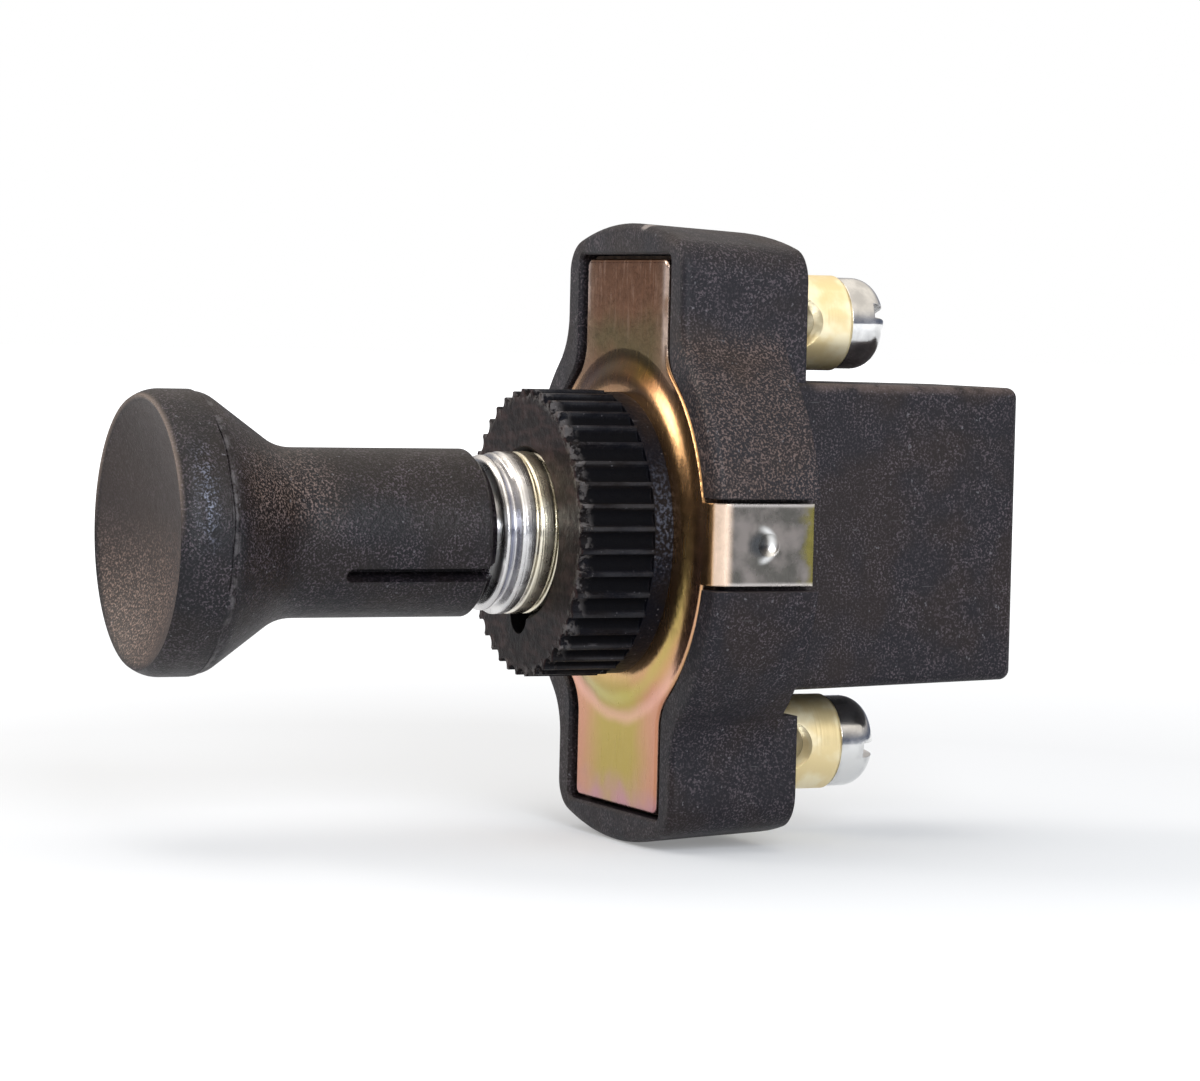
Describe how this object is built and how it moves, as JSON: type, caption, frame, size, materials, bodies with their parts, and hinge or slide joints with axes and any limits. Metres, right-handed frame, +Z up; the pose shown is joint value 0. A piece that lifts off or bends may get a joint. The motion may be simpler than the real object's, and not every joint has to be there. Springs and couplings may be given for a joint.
{
  "type": "push-pull switch",
  "caption": "Panel-mounted push-pull switch: dished knob on a sliding shaft, threaded bush with a scalloped ring nut, metal front plate, lobed housing and rear screw terminals.",
  "frame": {"origin": "On the push-pull axis, in the plane of the front plate's boss that seats on the panel.", "axes": "Y is the push-pull axis with the knob towards -Y and the contact block towards +Y, Z is up along the two lobes, and X is across the narrow width."},
  "size_m": [0.034, 0.0676, 0.046],
  "materials": {
    "knob_plastic": "fine grain, satin",
    "housing_plastic": "fine grain, satin",
    "nut_plastic": "smooth, scuffed",
    "passivated_steel": "yellow passivated zinc, iridescent",
    "bush_plating": "nickel plated",
    "shaft_chrome": "bright",
    "gasket_fibre": "dark fibre sheet",
    "drum_plastic": "moulded insulator",
    "contact_brass": "rolled",
    "terminal_brass": "turned",
    "screw_plating": "bright plated",
    "spring_steel": "bright"
  },
  "bodies": {
    "switch_body": {"housing": "housing_plastic", "front_plate": "passivated_steel", "insulating_gasket": "gasket_fibre", "threaded_bush": "bush_plating", "ring_nut": "nut_plastic", "upper_contact_strip": "contact_brass", "lower_contact_strip": "contact_brass", "upper_terminal_pillar": "terminal_brass", "lower_terminal_pillar": "terminal_brass", "upper_terminal_screw": "screw_plating", "lower_terminal_screw": "screw_plating"},
    "plunger": {"knob": "knob_plastic", "knob_snap_ring": "spring_steel", "pull_shaft": "shaft_chrome", "contact_drum": "drum_plastic", "contact_band": "contact_brass", "drum_washer": "spring_steel", "drum_circlip": "spring_steel", "detent_ball_right": "spring_steel", "detent_ball_left": "spring_steel", "detent_spring": "spring_steel"}
  },
  "joints": [
    {"name": "knob_pull", "type": "slide", "parent": "switch_body", "child": "plunger", "axis": [0, -1, 0], "range_m": [0, 0.009]}
  ]
}
